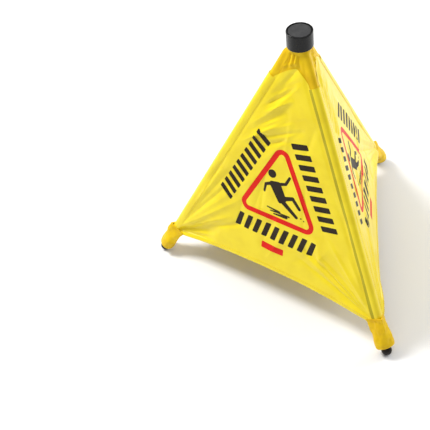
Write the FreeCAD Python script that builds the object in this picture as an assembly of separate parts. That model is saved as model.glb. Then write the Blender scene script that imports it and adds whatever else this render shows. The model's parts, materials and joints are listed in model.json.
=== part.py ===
"""A pop-up wet floor sign: three sprung legs under a plastic cap, with a fabric skirt stretched over them.

Millimetres, +Z up, floor at z = 0, and the cap's axis is the Z axis. One leg points to the front (-Y).
"""

import FreeCAD
import Part
import math
import os

Vec = FreeCAD.Vector
UP = Vec(0, 0, 1)
ALONG_Y = Vec(0, 1, 0)
ORIGIN = Vec(0, 0, 0)

# Overall size and leg layout
HEIGHT = 508.0
FOOT_CIRCLE_R = 279.4
FOOT_BALL_R = 9.15
FOOT_CENTRE_Z = 8.9
PIVOT_R = 10.7
PIVOT_Z = 486.0
LEG_AZIMUTHS = {"front": -90.0, "right": 30.0, "left": 150.0}
FACE_AZIMUTHS = {"front_left": -150.0, "front_right": -30.0, "back": 90.0}

# Cap and hub
CAP_R = 21.65
CAP_DEPTH = 28.2
CAP_WALL = 2.0
CAP_TOP_PLATE = 3.5
CAP_RIM_DEPTH = 2.0
CAP_RECESS_R = 18.9
CAP_EDGE_ROUND = 1.2
DISC_R = 18.2
DISC_THICK = 1.25
DISC_GLUE_GAP = 0.05
DISC_EDGE_ROUND = 0.4
HUB_R = 18.3
HUB_TOP_GAP = 0.3
HUB_BOTTOM_INSET = 0.6
SCREW_R = 2.0
SCREW_HEAD_R = 3.8
SCREW_HEAD_H = 2.0
SCREW_HEAD_SINK = 0.1
SCREW_LENGTH = 18.0
SCREW_SLOT_HALF = 0.5
SCREW_SLOT_REACH = 2.4
SCREW_SLOT_DEPTH = 1.1
SCREW_CLEARANCE = 0.2
PRESS_GAP = 0.02
RUN_GAP = 0.05
BUTT_GAP = 0.1
OVERCUT = 1.0

# Clevis slots and pins; y is along the pivot pin
SLOT_INNER_R = 6.3
SLOT_Y = (-2.3, 7.9)
SLOT_HEAD = 4.4
PIN_R = 1.5
PIN_Y = (-6.5, 12.4)
PIN_BORE_END = 20.0

# Leg: distances are measured down the leg from its pivot
TONGUE_HALF = 3.2
TONGUE_THICK = 4.0
TONGUE_END = 31.0
TUBE_R = 5.0
TUBE_BORE_R = 4.0
TUBE_START = 35.0
TUBE_END = 528.0
PLUG_LENGTH = 25.0
PLUG_GAP = 0.05
RIVET_R = 1.25
RIVET_AT = 46.0
RIVET_HEAD_R = 2.0
RIVET_HEAD_H = 0.6

# Torsion spring on each pin
SPRING_WIRE_R = 0.5
SPRING_MEAN_R = 2.15
SPRING_PITCH = 1.05
SPRING_TURNS = 4
SPRING_Y = 2.9
SPRING_ARM = 11.0
SPRING_TAIL = 3.4

# Foot and its fabric sleeve
INSERT_PLUG = 26.0
INSERT_FLANGE_END = 540.0
POST_R = 3.0
POST_END = 546.5
POST_HOLE_EXTRA = 0.5
FOOT_TOP = 541.5
SLEEVE_TOP = 490.0
SLEEVE_END = 541.2
SLEEVE_R = (17.0, 14.0)
SLEEVE_WALL = 1.2
SLEEVE_HOLE_R = 3.3
SLEEVE_CLEAR_R = 17.6

# Skirt: each face lies a little outside the plane through two leg axes
CLOTH_OFFSET = 6.0
CLOTH_THICK = 1.0
CLOTH_SIDE_INSET = 4.4
PANEL_TOP = 48.0
HEM_MIDDLE = 456.0
HEM_AT_LEG = 471.0
HEM_DEPTH = 8.0
HEM_GAP = 0.1
HEM_EXTRA = 0.4
POCKET_R = 6.8
POCKET_WALL = 0.8
POCKET_START = 62.0
POCKET_END = 488.0

# Collar that wraps the top of the skirt and is gripped in the cap
COLLAR_TOP_Z = 495.0
COLLAR_BELOW_CAP_Z = 479.3
COLLAR_BOTTOM_Z = 421.0
COLLAR_ARCH_Z = 447.0
COLLAR_TOP_R = 19.3
COLLAR_WALL = 0.65
COLLAR_OFFSET = 10.9
COLLAR_STEPS = 48
COLLAR_ARCH_SPREAD = 1.45

# Rounds of the search for where a face's side meets its hem
EDGE_ROUNDS = 40

# Worked out from the sizes above
CAP_BOTTOM_Z = HEIGHT - CAP_DEPTH
SCREW_HEAD_LOW = HEIGHT - CAP_RIM_DEPTH - SCREW_HEAD_H - SCREW_HEAD_SINK
LEG_RUN = FOOT_CIRCLE_R - PIVOT_R
LEG_DROP = PIVOT_Z - FOOT_CENTRE_Z
LEG_ANGLE = math.atan2(LEG_RUN, LEG_DROP)
LEG_LENGTH = math.hypot(LEG_RUN, LEG_DROP)
APEX_Z = PIVOT_Z + PIVOT_R * LEG_DROP / LEG_RUN
FACE_TILT = math.atan(0.5 * LEG_RUN / LEG_DROP)
FACE_HALF_ANGLE = math.atan(LEG_RUN / LEG_DROP * math.sin(math.radians(60)) * math.cos(FACE_TILT))


def cylinder(radius, low, high):
    """A cylinder on the Z axis from z = low to z = high."""
    return Part.makeCylinder(radius, high - low, Vec(0, 0, low), UP)


def box(x, y, z):
    """A box from three (low, high) pairs."""
    return Part.makeBox(x[1] - x[0], y[1] - y[0], z[1] - z[0], Vec(x[0], y[0], z[0]))


def turned(shape, azimuth):
    """A copy turned about the cap's axis."""
    copy = shape.copy()
    copy.rotate(ORIGIN, UP, azimuth)
    return copy


def on_leg(shape, azimuth):
    """Places a shape made with the leg hanging down -Z from the pivot at the origin, with the pin along Y."""
    copy = shape.copy()
    copy.rotate(ORIGIN, ALONG_Y, -math.degrees(LEG_ANGLE))
    copy.translate(Vec(PIVOT_R, 0, PIVOT_Z))
    return turned(copy, azimuth)


def write(name, shape):
    """Writes one named piece and says what it is."""
    shape.exportStep(os.path.join("parts", name + ".step"))
    print(name, len(shape.Solids), round(shape.Volume, 1), shape.isValid())


# Cap and hub


def make_cap_shell():
    cap = cylinder(CAP_R, CAP_BOTTOM_Z, HEIGHT)
    rims = [e for e in cap.Edges if e.Curve.TypeId == "Part::GeomCircle"]
    cap = cap.makeFillet(CAP_EDGE_ROUND, rims)
    plate_top = HEIGHT - CAP_RIM_DEPTH
    plate_bottom = plate_top - CAP_TOP_PLATE
    cap = cap.cut(cylinder(CAP_R - CAP_WALL, CAP_BOTTOM_Z - OVERCUT, plate_bottom))
    cap = cap.cut(cylinder(CAP_RECESS_R, plate_top, HEIGHT + OVERCUT))
    seat_z = plate_top - SCREW_HEAD_H - SCREW_CLEARANCE
    cap = cap.cut(cylinder(SCREW_HEAD_R + SCREW_CLEARANCE, seat_z, plate_top + OVERCUT))
    return cap.cut(cylinder(SCREW_R + SCREW_CLEARANCE, plate_bottom - OVERCUT, plate_top))


def make_cap_disc():
    low = HEIGHT - CAP_RIM_DEPTH + DISC_GLUE_GAP
    disc = cylinder(DISC_R, low, low + DISC_THICK)
    top_edge = [e for e in disc.Edges if e.BoundBox.ZMin > low + DISC_THICK / 2]
    return disc.makeFillet(DISC_EDGE_ROUND, top_edge)


def make_cap_screw():
    """A pan-head screw with a cross slot, down through the cap's plate into the hub."""
    head_top = SCREW_HEAD_LOW + SCREW_HEAD_H
    screw = cylinder(SCREW_HEAD_R, SCREW_HEAD_LOW, head_top)
    screw = screw.fuse(cylinder(SCREW_R, SCREW_HEAD_LOW - SCREW_LENGTH, SCREW_HEAD_LOW))
    width = (-SCREW_SLOT_HALF, SCREW_SLOT_HALF)
    reach = (-SCREW_SLOT_REACH, SCREW_SLOT_REACH)
    slot = box(width, reach, (head_top - SCREW_SLOT_DEPTH, head_top + OVERCUT))
    return screw.cut(slot.fuse(turned(slot, 90))).removeSplitter()


def make_hub():
    plate_bottom = HEIGHT - CAP_RIM_DEPTH - CAP_TOP_PLATE
    low = CAP_BOTTOM_Z + HUB_BOTTOM_INSET
    hub = cylinder(HUB_R, low, plate_bottom - HUB_TOP_GAP)
    slot = box((SLOT_INNER_R, CAP_R), SLOT_Y, (low - OVERCUT, PIVOT_Z + SLOT_HEAD))
    bore_low = Vec(PIVOT_R, PIN_Y[0], PIVOT_Z)
    bore = Part.makeCylinder(PIN_R + PRESS_GAP, PIN_BORE_END - PIN_Y[0], bore_low, ALONG_Y)
    for azimuth in LEG_AZIMUTHS.values():
        hub = hub.cut(turned(slot, azimuth))
        hub = hub.cut(turned(bore, azimuth))
    screw_low = SCREW_HEAD_LOW - SCREW_LENGTH
    return hub.cut(cylinder(SCREW_R + PRESS_GAP, screw_low - OVERCUT, HEIGHT))


def make_pivot_pins():
    low = PIN_Y[0] + BUTT_GAP
    pin = Part.makeCylinder(PIN_R, PIN_Y[1] - low, Vec(PIVOT_R, low, PIVOT_Z), ALONG_Y)
    return Part.makeCompound([turned(pin, azimuth) for azimuth in LEG_AZIMUTHS.values()])


# Legs, each made hanging straight down from its pivot


def make_knuckle():
    half_thick = TONGUE_THICK / 2
    eye = Part.makeCylinder(TONGUE_HALF, TONGUE_THICK, Vec(0, -half_thick, 0), ALONG_Y)
    tongue = box((-TONGUE_HALF, TONGUE_HALF), (-half_thick, half_thick), (-TONGUE_END, 0))
    shoulder = cylinder(TUBE_R, -TUBE_START + BUTT_GAP, -TONGUE_END)
    plug = cylinder(TUBE_BORE_R - PLUG_GAP, -TUBE_START - PLUG_LENGTH, -TUBE_START + BUTT_GAP)
    knuckle = eye.fuse(tongue).fuse(shoulder).fuse(plug).removeSplitter()
    pin_hole = Part.makeCylinder(PIN_R + RUN_GAP, 4 * TONGUE_THICK, Vec(0, -2 * TONGUE_THICK, 0), ALONG_Y)
    return knuckle.cut(pin_hole).cut(rivet_hole())


def rivet_hole():
    low = Vec(0, -2 * TUBE_R, -RIVET_AT)
    return Part.makeCylinder(RIVET_R + PRESS_GAP, 4 * TUBE_R, low, ALONG_Y)


def make_tube():
    tube = cylinder(TUBE_R, -TUBE_END, -TUBE_START)
    return tube.cut(cylinder(TUBE_BORE_R, -TUBE_END - OVERCUT, 0)).cut(rivet_hole())


def make_rivet():
    reach = TUBE_R + RUN_GAP
    rivet = Part.makeCylinder(RIVET_R, 2 * reach, Vec(0, -reach, -RIVET_AT), ALONG_Y)
    for side in (-1, 1):
        head_at = Vec(0, side * reach, -RIVET_AT)
        head = Part.makeCylinder(RIVET_HEAD_R, RIVET_HEAD_H, head_at, Vec(0, side, 0))
        rivet = rivet.fuse(head)
    return rivet.removeSplitter()


def make_spring():
    """A coil round the pin, with one arm down the leg and a short tail up into the slot."""
    height = SPRING_PITCH * SPRING_TURNS
    helix = Part.makeHelix(SPRING_PITCH, height, SPRING_MEAN_R)
    start = Vec(SPRING_MEAN_R, 0, 0)
    profile = Part.Wire(Part.makeCircle(SPRING_WIRE_R, start, ALONG_Y))
    coil = Part.Wire(helix).makePipeShell([profile], True, True)
    arm = Part.makeCylinder(SPRING_WIRE_R, SPRING_ARM, start, Vec(0, -1, 0))
    tail = Part.makeCylinder(SPRING_WIRE_R, SPRING_TAIL, Vec(SPRING_MEAN_R, 0, height), ALONG_Y)
    spring = coil.fuse(arm).fuse(tail)
    # Lay the coil on the pin's axis, with its arm down the leg's inner side.
    spring.rotate(ORIGIN, Vec(1, 0, 0), 90)
    spring.rotate(ORIGIN, UP, 180)
    spring.translate(Vec(0, SPRING_Y, 0))
    return spring


def make_foot_insert():
    insert = cylinder(TUBE_BORE_R - PLUG_GAP, -TUBE_END - BUTT_GAP, -TUBE_END + INSERT_PLUG)
    insert = insert.fuse(cylinder(TUBE_R, -INSERT_FLANGE_END, -TUBE_END - BUTT_GAP))
    return insert.fuse(cylinder(POST_R, -POST_END, -INSERT_FLANGE_END)).removeSplitter()


def make_rubber_foot():
    """A ball with a flat top that the sleeve rests on, worn flat where it stands on the floor."""
    ball = Part.makeSphere(FOOT_BALL_R, Vec(0, 0, -LEG_LENGTH))
    ball = ball.common(cylinder(2 * FOOT_BALL_R, -LEG_LENGTH - 2 * FOOT_BALL_R, -FOOT_TOP))
    return ball.cut(cylinder(POST_R + PRESS_GAP, -POST_END - POST_HOLE_EXTRA, 0))


def floor_block():
    reach = 2 * FOOT_CIRCLE_R
    return box((-reach, reach), (-reach, reach), (-reach, 0))


def make_sleeve():
    """A tapered fabric tube, closed round the foot's post at its lower end."""
    length = SLEEVE_END - SLEEVE_TOP
    low = Vec(0, 0, -SLEEVE_END)
    outer = Part.makeCone(SLEEVE_R[1], SLEEVE_R[0], length, low, UP)
    inner_low = Vec(0, 0, -SLEEVE_END + SLEEVE_WALL)
    inner = Part.makeCone(SLEEVE_R[1] - SLEEVE_WALL, SLEEVE_R[0] - SLEEVE_WALL, length, inner_low, UP)
    return outer.cut(inner).cut(cylinder(SLEEVE_HOLE_R, -SLEEVE_END - OVERCUT, -SLEEVE_TOP))


def make_leg_pocket():
    pocket = cylinder(POCKET_R, -POCKET_END, -POCKET_START)
    return pocket.cut(cylinder(POCKET_R - POCKET_WALL, -POCKET_END - OVERCUT, 0))


# Skirt


def face_frame(azimuth):
    """Unit vectors of one face: across it, down it and out of it."""
    angle = math.radians(azimuth)
    out = Vec(math.cos(angle), math.sin(angle), 0)
    across = Vec(-math.sin(angle), math.cos(angle), 0)
    down = out * math.sin(FACE_TILT) - UP * math.cos(FACE_TILT)
    normal = out * math.cos(FACE_TILT) + UP * math.sin(FACE_TILT)
    return across, down, normal


def hem_radius():
    half_chord = HEM_AT_LEG * math.tan(FACE_HALF_ANGLE)
    rise = HEM_AT_LEG - HEM_MIDDLE
    return (half_chord ** 2 + rise ** 2) / (2 * rise)


def side_at(v):
    """Half the width of a face's cloth at a distance v down the face."""
    return v * math.tan(FACE_HALF_ANGLE) - CLOTH_SIDE_INSET / math.cos(FACE_HALF_ANGLE)


def side_meets_arc(middle):
    """How far down the face its side meets the hem arc whose middle is at the given distance."""
    radius = hem_radius()
    v = middle
    for _ in range(EDGE_ROUNDS):
        v = middle + radius - math.sqrt(radius ** 2 - side_at(v) ** 2)
    return v


def face_piece(azimuth, top_middle, bottom_middle, inner, outer):
    """A plate between two levels of one face; a level is an arc, or straight across at the panel's top."""
    across, down, normal = face_frame(azimuth)
    base = Vec(0, 0, APEX_Z) + normal * inner

    def at(u, v):
        return base + across * u + down * v

    def level(middle, straight):
        v = middle if straight else side_meets_arc(middle)
        ends = (at(-side_at(v), v), at(side_at(v), v))
        if straight:
            return Part.LineSegment(*ends).toShape(), ends
        return Part.Arc(ends[0], at(0, middle), ends[1]).toShape(), ends

    top, top_ends = level(top_middle, top_middle == PANEL_TOP)
    bottom, bottom_ends = level(bottom_middle, False)
    sides = [Part.LineSegment(a, b).toShape() for a, b in zip(top_ends, bottom_ends)]
    outline = Part.Wire(Part.__sortEdges__([top, sides[1], bottom, sides[0]]))
    return Part.Face(outline).extrude(normal * (outer - inner))


def sleeve_clearance():
    """The spaces round the three sleeves, which the skirt's corners stay out of."""
    space = cylinder(SLEEVE_CLEAR_R, -LEG_LENGTH, -SLEEVE_TOP + OVERCUT)
    return [on_leg(space, azimuth) for azimuth in LEG_AZIMUTHS.values()]


def make_panel(azimuth):
    bottom = HEM_MIDDLE - HEM_DEPTH - HEM_GAP
    plate = face_piece(azimuth, PANEL_TOP, bottom, CLOTH_OFFSET, CLOTH_OFFSET + CLOTH_THICK)
    return plate.cut(sleeve_clearance())


def make_hem(azimuth):
    inner = CLOTH_OFFSET - HEM_EXTRA
    outer = CLOTH_OFFSET + CLOTH_THICK + HEM_EXTRA
    return face_piece(azimuth, HEM_MIDDLE - HEM_DEPTH, HEM_MIDDLE, inner, outer).cut(sleeve_clearance())


def triangle_reach(angle, z, offset):
    """Distance from the axis to the rounded triangle that lies the given offset outside the leg axes."""
    leg_r = PIVOT_R + (PIVOT_Z - z) * LEG_RUN / LEG_DROP
    round_r = offset / math.cos(FACE_TILT)
    away = math.radians(((angle + 90.0 + 60.0) % 120.0) - 60.0)
    flat_distance = leg_r / 2 + round_r
    to_flat = flat_distance / math.cos(math.radians(60) - abs(away))
    across = leg_r * math.sin(abs(away))
    if across >= round_r:
        return to_flat
    to_corner = leg_r * math.cos(away) + math.sqrt(round_r ** 2 - across ** 2)
    return min(to_flat, to_corner)


def ring_wire(z, reach):
    """A closed polygon at height z, whose distance from the axis at each angle is reach(angle)."""
    points = []
    for step in range(COLLAR_STEPS + 1):
        angle = 360.0 * (step % COLLAR_STEPS) / COLLAR_STEPS
        turn = math.radians(angle)
        points.append(Vec(reach(angle) * math.cos(turn), reach(angle) * math.sin(turn), z))
    return Part.makePolygon(points)


def collar_solid(shrink, low_z):
    top = ring_wire(COLLAR_BELOW_CAP_Z, lambda angle: COLLAR_TOP_R - shrink)
    bottom = ring_wire(low_z, lambda angle: triangle_reach(angle, low_z, COLLAR_OFFSET) - shrink)
    return Part.makeLoft([top, bottom], True, True)


def make_collar():
    skirt = collar_solid(0.0, COLLAR_BOTTOM_Z).cut(collar_solid(COLLAR_WALL, COLLAR_BOTTOM_Z))
    band = cylinder(COLLAR_TOP_R, COLLAR_BELOW_CAP_Z, COLLAR_TOP_Z)
    inside = cylinder(COLLAR_TOP_R - COLLAR_WALL, COLLAR_BELOW_CAP_Z - OVERCUT, COLLAR_TOP_Z + OVERCUT)
    band = band.cut(inside)
    collar = skirt.fuse(band)
    rise = COLLAR_ARCH_Z - COLLAR_BOTTOM_Z
    half_chord = COLLAR_ARCH_SPREAD * rise
    arch_r = (half_chord ** 2 + rise ** 2) / (2 * rise)
    for azimuth in FACE_AZIMUTHS.values():
        arch = Part.makeCylinder(arch_r, 3 * CAP_R, Vec(0, 0, COLLAR_ARCH_Z - arch_r), Vec(1, 0, 0))
        collar = collar.cut(turned(arch, azimuth))
    return collar


os.makedirs("parts", exist_ok=True)
write("cap_shell", make_cap_shell())
write("cap_disc", make_cap_disc())
write("cap_screw", make_cap_screw())
write("hub", make_hub())
write("pivot_pins", make_pivot_pins())
write("skirt_collar", make_collar())
for side, face in FACE_AZIMUTHS.items():
    write("skirt_panel_" + side, make_panel(face))
    write("skirt_hem_" + side, make_hem(face))

LEG_PIECES = {
    "knuckle": make_knuckle(),
    "leg_tube": make_tube(),
    "knuckle_rivet": make_rivet(),
    "torsion_spring": make_spring(),
    "leg_pocket": make_leg_pocket(),
    "foot_insert": make_foot_insert(),
    "foot_sleeve": make_sleeve(),
    "rubber_foot": make_rubber_foot(),
}
for side, leg in LEG_AZIMUTHS.items():
    for piece, shape in LEG_PIECES.items():
        placed = on_leg(shape, leg)
        if piece == "rubber_foot":
            placed = placed.cut(floor_block())
        write(piece + "_" + side, placed)
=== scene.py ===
"""The looks of a pop-up wet floor sign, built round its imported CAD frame. Metres, +Z up, floor at z = 0."""

import json
import math
import random

import bpy
from mathutils import Matrix, Vector, noise
from mathutils.geometry import delaunay_2d_cdt


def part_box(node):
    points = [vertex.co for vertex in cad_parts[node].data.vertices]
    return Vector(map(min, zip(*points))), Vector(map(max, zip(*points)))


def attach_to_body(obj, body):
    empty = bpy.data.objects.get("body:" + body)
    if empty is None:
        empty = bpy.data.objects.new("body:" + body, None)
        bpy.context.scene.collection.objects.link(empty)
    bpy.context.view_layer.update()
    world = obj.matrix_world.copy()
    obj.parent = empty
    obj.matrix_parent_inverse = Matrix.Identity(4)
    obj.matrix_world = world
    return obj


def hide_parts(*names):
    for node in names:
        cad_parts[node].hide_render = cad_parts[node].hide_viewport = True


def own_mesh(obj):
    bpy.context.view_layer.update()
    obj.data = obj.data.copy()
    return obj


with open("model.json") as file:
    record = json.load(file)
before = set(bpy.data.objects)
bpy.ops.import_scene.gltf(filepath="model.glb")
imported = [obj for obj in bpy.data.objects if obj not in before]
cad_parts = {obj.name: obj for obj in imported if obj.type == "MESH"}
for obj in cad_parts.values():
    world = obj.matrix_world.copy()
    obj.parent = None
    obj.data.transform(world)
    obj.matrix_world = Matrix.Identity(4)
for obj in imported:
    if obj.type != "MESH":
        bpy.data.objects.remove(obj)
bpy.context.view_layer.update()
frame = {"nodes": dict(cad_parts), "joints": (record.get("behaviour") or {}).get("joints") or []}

MM = 0.001
UP = Vector((0, 0, 1))
SEED = 11

# Where things are, from the frame
LEGS = {"front": -90.0, "right": 30.0, "left": 150.0}
FACES = {"front_left": -150.0, "front_right": -30.0, "back": 90.0}
FOLD = {leg: f"leg_{leg}_fold" for leg in LEGS}
hinge = next(j for j in frame["joints"] if j["name"] == FOLD["front"])
PIVOT_R = -hinge["pos_m"][1]
PIVOT_Z = hinge["pos_m"][2]
foot_low, foot_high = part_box("rubber_foot_front")
FOOT_R = -(foot_low.y + foot_high.y) / 2
FOOT_Z = foot_high.z - (foot_high.y - foot_low.y) / 2
CAP_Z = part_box("cap_shell")[0].z

SLOPE = (FOOT_R - PIVOT_R) / (PIVOT_Z - FOOT_Z)
LEG_ANGLE = math.atan(SLOPE)
APEX = Vector((0, 0, PIVOT_Z + PIVOT_R / SLOPE))
TILT = math.atan(SLOPE / 2)
HALF_ANGLE = math.atan(SLOPE * math.sin(math.radians(60)) * math.cos(TILT))

# The cloth: sizes on a face are across it (u) and down it from the apex (v); near a leg they are
# the distance in from the leg line (q) and along it from the apex
CREST = 7.4 * MM
VALLEY_DEPTH = 1.8 * MM
VALLEY_AT = 8.6 * MM
VALLEY_WIDTH = 3.6 * MM
CLOTH_THICK = 0.45 * MM
GRID = 2.6 * MM
COLLAR_GRID = 1.9 * MM
SEAM_Q = 8.6 * MM
SEAM_LAP = 3.4 * MM
PANEL_PEAK_U = 6 * MM
PANEL_TOP_MIDDLE = 59 * MM
PANEL_TOP_AT_LEG = 92 * MM
HEM_MIDDLE = 456 * MM
HEM_AT_LEG = 471 * MM
HEM_DEPTH = 8 * MM
BAND_START = 92 * MM
BAND_END = 519 * MM
COLLAR_TOP_V = 24 * MM
COLLAR_LAP = 9 * MM
NECK_R = 19.4 * MM
SLEEVE_START = 504 * MM
SLEEVE_END = 560.5 * MM
# The turn round a leg, from straight out, where the back of its pocket starts
PINCH_TURN = math.radians(124.7)
STITCH_LENGTH = 2.7 * MM
STITCH_PITCH = 3.9 * MM
STITCH_R = 0.3 * MM

# The relief of a face: the valley beside a leg, then its folds, its slack and its broad billows
VALLEY_FADES_IN = (34 * MM, 90 * MM)
VALLEY_FADES_OUT = (400 * MM, 500 * MM)
VALLEY_MEAN = 0.65
VALLEY_VARIES = 0.8
FOLDS_COME_IN = (2 * MM, 16 * MM)
SLACK = 2.4 * MM
SLACK_COMES_IN = (10 * MM, 120 * MM)
BILLOW = 0.8 * MM
BILLOW_SIZE = (0.05, 0.09)

# What a random fold is: two crests to a dip, or as many of each
MOSTLY_CRESTS = (-1, 1, 1)
CREST_OR_DIP = (-1, 1)


# ------ materials


def new_material(name):
    material = bpy.data.materials.new(name)
    material.use_nodes = True
    nodes = material.node_tree.nodes
    return material, nodes, material.node_tree.links, nodes["Principled BSDF"]


def ramp(nodes, low, high, low_at=0.0, high_at=1.0):
    node = nodes.new("ShaderNodeValToRGB")
    node.color_ramp.elements[0].position = low_at
    node.color_ramp.elements[0].color = (*low, 1)
    node.color_ramp.elements[1].position = high_at
    node.color_ramp.elements[1].color = (*high, 1)
    return node


def add_noise(nodes, links, coord, scale, detail=3.0, rough=0.5):
    node = nodes.new("ShaderNodeTexNoise")
    node.inputs["Scale"].default_value = scale
    node.inputs["Detail"].default_value = detail
    node.inputs["Roughness"].default_value = rough
    links.new(coord, node.inputs["Vector"])
    return node


def add_bump(nodes, links, height, strength, distance, normal=None):
    node = nodes.new("ShaderNodeBump")
    node.inputs["Strength"].default_value = strength
    node.inputs["Distance"].default_value = distance
    links.new(height, node.inputs["Height"])
    if normal is not None:
        links.new(normal, node.inputs["Normal"])
    return node


def weave_height(nodes, links, coord, threads_per_m):
    """Two crossed sets of threads, as a height."""
    waves = []
    for direction in ("X", "Y"):
        wave = nodes.new("ShaderNodeTexWave")
        wave.wave_type = "BANDS"
        wave.bands_direction = direction
        wave.inputs["Scale"].default_value = threads_per_m / 20
        wave.inputs["Distortion"].default_value = 0.3
        links.new(coord, wave.inputs["Vector"])
        waves.append(wave)
    product = nodes.new("ShaderNodeMath")
    product.operation = "MULTIPLY"
    links.new(waves[0].outputs["Fac"], product.inputs[0])
    links.new(waves[1].outputs["Fac"], product.inputs[1])
    return product.outputs[0]


def cloth_material(name, light, deep, roughness, sheen, gloss, threads_per_m):
    """Coated woven cloth: uneven dye, and as bumps the thread weave, fine crumpling and long wrinkles."""
    material, nodes, links, shader = new_material(name)
    coord = nodes.new("ShaderNodeTexCoord").outputs["Object"]
    blotch = add_noise(nodes, links, coord, scale=34.0, detail=4.0)
    colour = ramp(nodes, deep, light, low_at=0.3, high_at=0.62)
    links.new(blotch.outputs["Fac"], colour.inputs["Fac"])
    links.new(colour.outputs["Color"], shader.inputs["Base Color"])
    shader.inputs["Roughness"].default_value = roughness
    shader.inputs["Sheen Weight"].default_value = sheen
    shader.inputs["Sheen Roughness"].default_value = 0.22
    shader.inputs["Specular IOR Level"].default_value = gloss
    weave = weave_height(nodes, links, coord, threads_per_m)
    fine = add_bump(nodes, links, weave, strength=0.25, distance=0.00012)
    crumple = add_noise(nodes, links, coord, scale=70.0, detail=5.0, rough=0.55)
    coarse = add_bump(nodes, links, crumple.outputs["Fac"], strength=0.35, distance=0.0012,
                      normal=fine.outputs["Normal"])
    lines = nodes.new("ShaderNodeMapping")
    lines.inputs["Rotation"].default_value = (0.3, 0.5, 0.9)
    lines.inputs["Scale"].default_value = (1.0, 1.0, 0.34)
    links.new(coord, lines.inputs["Vector"])
    wrinkle = add_noise(nodes, links, lines.outputs["Vector"], scale=26.0, detail=2.0, rough=0.4)
    wrinkle.noise_type = "RIDGED_MULTIFRACTAL"
    wrinkle.inputs["Distortion"].default_value = 0.5
    creased = add_bump(nodes, links, wrinkle.outputs["Fac"], strength=0.3, distance=0.0022,
                       normal=coarse.outputs["Normal"])
    links.new(creased.outputs["Normal"], shader.inputs["Normal"])
    return material


def plastic_material(name, colour, worn, roughness, shine, grain_scale, grain_depth):
    """Moulded plastic or rubber with a fine grain, slight handling marks and uneven gloss."""
    material, nodes, links, shader = new_material(name)
    coord = nodes.new("ShaderNodeTexCoord").outputs["Object"]
    marks = add_noise(nodes, links, coord, scale=120.0, detail=6.0, rough=0.65)
    tint = ramp(nodes, colour, worn, low_at=0.42, high_at=0.8)
    links.new(marks.outputs["Fac"], tint.inputs["Fac"])
    links.new(tint.outputs["Color"], shader.inputs["Base Color"])
    shader.inputs["Specular IOR Level"].default_value = shine
    gloss = nodes.new("ShaderNodeMapRange")
    gloss.inputs["To Min"].default_value = roughness - 0.06
    gloss.inputs["To Max"].default_value = roughness + 0.1
    links.new(marks.outputs["Fac"], gloss.inputs["Value"])
    links.new(gloss.outputs["Result"], shader.inputs["Roughness"])
    grain = add_noise(nodes, links, coord, scale=grain_scale, detail=2.0)
    bump = add_bump(nodes, links, grain.outputs["Fac"], strength=0.3, distance=grain_depth)
    links.new(bump.outputs["Normal"], shader.inputs["Normal"])
    return material


def metal_material(name, colour, roughness):
    """Drawn metal with fine scratches along its length."""
    material, nodes, links, shader = new_material(name)
    coord = nodes.new("ShaderNodeTexCoord").outputs["Object"]
    stretch = nodes.new("ShaderNodeMapping")
    stretch.inputs["Scale"].default_value = (900, 900, 60)
    links.new(coord, stretch.inputs["Vector"])
    scratches = add_noise(nodes, links, stretch.outputs["Vector"], scale=1.0, detail=3.0)
    tint = ramp(nodes, tuple(0.8 * c for c in colour), colour, low_at=0.3, high_at=0.7)
    links.new(scratches.outputs["Fac"], tint.inputs["Fac"])
    links.new(tint.outputs["Color"], shader.inputs["Base Color"])
    shader.inputs["Metallic"].default_value = 1.0
    shader.inputs["Roughness"].default_value = roughness
    bump = add_bump(nodes, links, scratches.outputs["Fac"], strength=0.15, distance=0.00008)
    links.new(bump.outputs["Normal"], shader.inputs["Normal"])
    return material


YELLOW = cloth_material(
    "yellow_cloth", light=(0.93, 0.74, 0.010), deep=(0.87, 0.67, 0.006),
    roughness=0.34, sheen=0.34, gloss=0.46, threads_per_m=3200)
# A darker olive yellow that is painted shade: it stands in for the shade on the side of the front pocket that
# turns away from the light
PAINTED_SHADE_YELLOW = cloth_material(
    "painted_shade_yellow_cloth", light=(0.50, 0.42, 0.005), deep=(0.42, 0.34, 0.003),
    roughness=0.46, sheen=0.3, gloss=0.3, threads_per_m=3200)
GOLD = cloth_material(
    "gold_cloth", light=(0.85, 0.57, 0.004), deep=(0.71, 0.43, 0.002),
    roughness=0.5, sheen=0.12, gloss=0.2, threads_per_m=2200)
BLACK_INK = cloth_material(
    "black_print", light=(0.03, 0.02, 0.013), deep=(0.022, 0.014, 0.009),
    roughness=0.5, sheen=0.03, gloss=0.16, threads_per_m=3200)
RED_INK = cloth_material(
    "red_print", light=(0.79, 0.013, 0.006), deep=(0.71, 0.009, 0.004),
    roughness=0.45, sheen=0.03, gloss=0.18, threads_per_m=3200)
THREAD = cloth_material(
    "seam_thread", light=(0.8, 0.6, 0.03), deep=(0.68, 0.47, 0.015),
    roughness=0.7, sheen=0.2, gloss=0.2, threads_per_m=9000)
CAP_BLACK = plastic_material(
    "cap_black", colour=(0.003, 0.003, 0.003), worn=(0.007, 0.007, 0.007),
    roughness=0.25, shine=0.3, grain_scale=2600.0, grain_depth=0.0001)
DISC_GREY = plastic_material(
    "disc_grey", colour=(0.034, 0.034, 0.035), worn=(0.06, 0.06, 0.06),
    roughness=0.6, shine=0.3, grain_scale=1800.0, grain_depth=0.0002)
HUB_BLACK = plastic_material(
    "hub_black", colour=(0.02, 0.02, 0.021), worn=(0.035, 0.035, 0.035),
    roughness=0.5, shine=0.4, grain_scale=2000.0, grain_depth=0.0001)
RUBBER = plastic_material(
    "black_rubber", colour=(0.007, 0.004, 0.002), worn=(0.016, 0.009, 0.005),
    roughness=0.4, shine=0.24, grain_scale=1500.0, grain_depth=0.0002)
ALUMINIUM = metal_material("leg_aluminium", colour=(0.72, 0.72, 0.74), roughness=0.35)
STEEL = metal_material("plated_steel", colour=(0.6, 0.6, 0.62), roughness=0.28)
SPRING = metal_material("spring_steel", colour=(0.4, 0.4, 0.42), roughness=0.32)

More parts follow.
